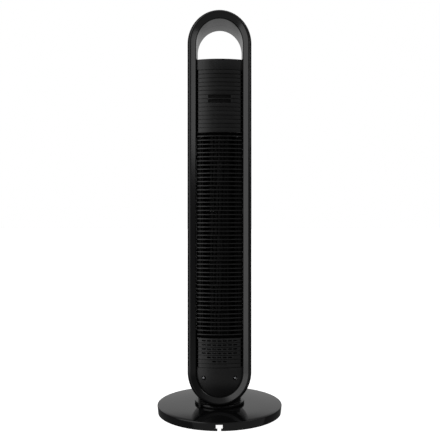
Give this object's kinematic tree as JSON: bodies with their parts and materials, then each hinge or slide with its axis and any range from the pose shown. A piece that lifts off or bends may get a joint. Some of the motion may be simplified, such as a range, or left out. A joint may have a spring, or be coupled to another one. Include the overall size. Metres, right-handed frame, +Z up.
{
  "type": "tower fan",
  "caption": "Tower fan on a round base: a tall stadium-shaped ring with a carrying opening, a cross-flow impeller behind grilles, and a geared swing drive.",
  "frame": {"origin": "on the floor, under the vertical axis that the tower swings about, at the centre of the base", "axes": "+Z up; air leaves the front towards -Y; the inlet grille and the cord's outlet face +Y; +X is on the left of someone who looks at the back"},
  "size_m": [0.3018, 0.3018, 0.9644],
  "materials": {
    "gloss_black_plastic": "polished",
    "satin_black_plastic": "semi-gloss",
    "fine_black_plastic": "fine satin texture",
    "inner_black_plastic": "matt",
    "smoked_lens": "polished",
    "black_rubber": "matt",
    "plated_steel": "zinc plated",
    "cast_weight": "as cast",
    "white_nylon": "moulded",
    "circuit_board": "solder mask"
  },
  "bodies": {
    "base": {"base_cover": "gloss_black_plastic", "base_plate": "inner_black_plastic", "base_weight": "cast_weight", "foot_1": "black_rubber", "foot_2": "black_rubber", "foot_3": "black_rubber", "foot_4": "black_rubber", "base_screw_1": "plated_steel", "base_screw_2": "plated_steel", "base_screw_3": "plated_steel", "pivot_post": "plated_steel", "neck_collar": "satin_black_plastic", "thrust_washer": "white_nylon", "sector_gear": "white_nylon", "post_clip": "plated_steel"},
    "tower": {"turntable": "satin_black_plastic", "rear_housing": "satin_black_plastic", "front_housing": "satin_black_plastic", "rear_grille": "fine_black_plastic", "inlet_guide": "inner_black_plastic", "front_grille": "fine_black_plastic", "control_panel": "gloss_black_plastic", "display_lens": "smoked_lens", "lower_front_panel": "fine_black_plastic", "handle_floor": "satin_black_plastic", "control_board": "circuit_board", "power_board": "circuit_board", "capacitor": "inner_black_plastic", "top_bearing_bracket": "inner_black_plastic", "top_bush": "black_rubber", "motor_bracket": "inner_black_plastic", "motor_stator": "cast_weight", "motor_upper_bell": "plated_steel", "motor_lower_bell": "plated_steel", "swing_plate": "inner_black_plastic", "swing_motor": "plated_steel", "lower_brace": "inner_black_plastic", "rear_screw_left": "plated_steel", "rear_screw_right": "plated_steel", "scroll_wall": "inner_black_plastic", "vortex_wall": "inner_black_plastic", "cord_gland": "black_rubber"},
    "impeller": {"impeller_segment_1": "inner_black_plastic", "impeller_segment_2": "inner_black_plastic", "impeller_segment_3": "inner_black_plastic", "impeller_segment_4": "inner_black_plastic", "impeller_segment_5": "inner_black_plastic", "impeller_segment_6": "inner_black_plastic", "impeller_segment_7": "inner_black_plastic", "impeller_segment_8": "inner_black_plastic", "impeller_end_disc": "inner_black_plastic", "top_shaft": "plated_steel", "motor_shaft": "plated_steel", "motor_rotor": "cast_weight", "impeller_hub": "black_rubber"},
    "drive_pinion": {"drive_pinion": "white_nylon"},
    "power_button": {"power_button": "satin_black_plastic"},
    "speed_button": {"speed_button": "satin_black_plastic"},
    "timer_button": {"timer_button": "satin_black_plastic"},
    "swing_button": {"swing_button": "satin_black_plastic"}
  },
  "joints": [
    {"name": "swing", "type": "hinge", "parent": "base", "child": "tower", "pos_m": [0, 0, 0.025], "axis": [0, 0, 1], "range_deg": [-40, 40]},
    {"name": "impeller_spin", "type": "hinge", "parent": "tower", "child": "impeller", "pos_m": [0, -0.003, 0.4], "axis": [0, 0, 1], "continuous": true},
    {"name": "pinion_turn", "type": "hinge", "parent": "tower", "child": "drive_pinion", "pos_m": [0, -0.0325, 0.06], "axis": [0, 0, 1], "range_deg": [-134, 134]},
    {"name": "press_power_button", "type": "slide", "parent": "tower", "child": "power_button", "axis": [0, 1, 0], "range_m": [0, 0.001], "stiffness_N_per_m": 600},
    {"name": "press_speed_button", "type": "slide", "parent": "tower", "child": "speed_button", "axis": [0, 1, 0], "range_m": [0, 0.001], "stiffness_N_per_m": 600},
    {"name": "press_timer_button", "type": "slide", "parent": "tower", "child": "timer_button", "axis": [0, 1, 0], "range_m": [0, 0.001], "stiffness_N_per_m": 600},
    {"name": "press_swing_button", "type": "slide", "parent": "tower", "child": "swing_button", "axis": [0, 1, 0], "range_m": [0, 0.001], "stiffness_N_per_m": 600}
  ],
  "couplings": [
    {"joint": "pinion_turn", "follows": "swing", "ratio": 3.3333}
  ]
}
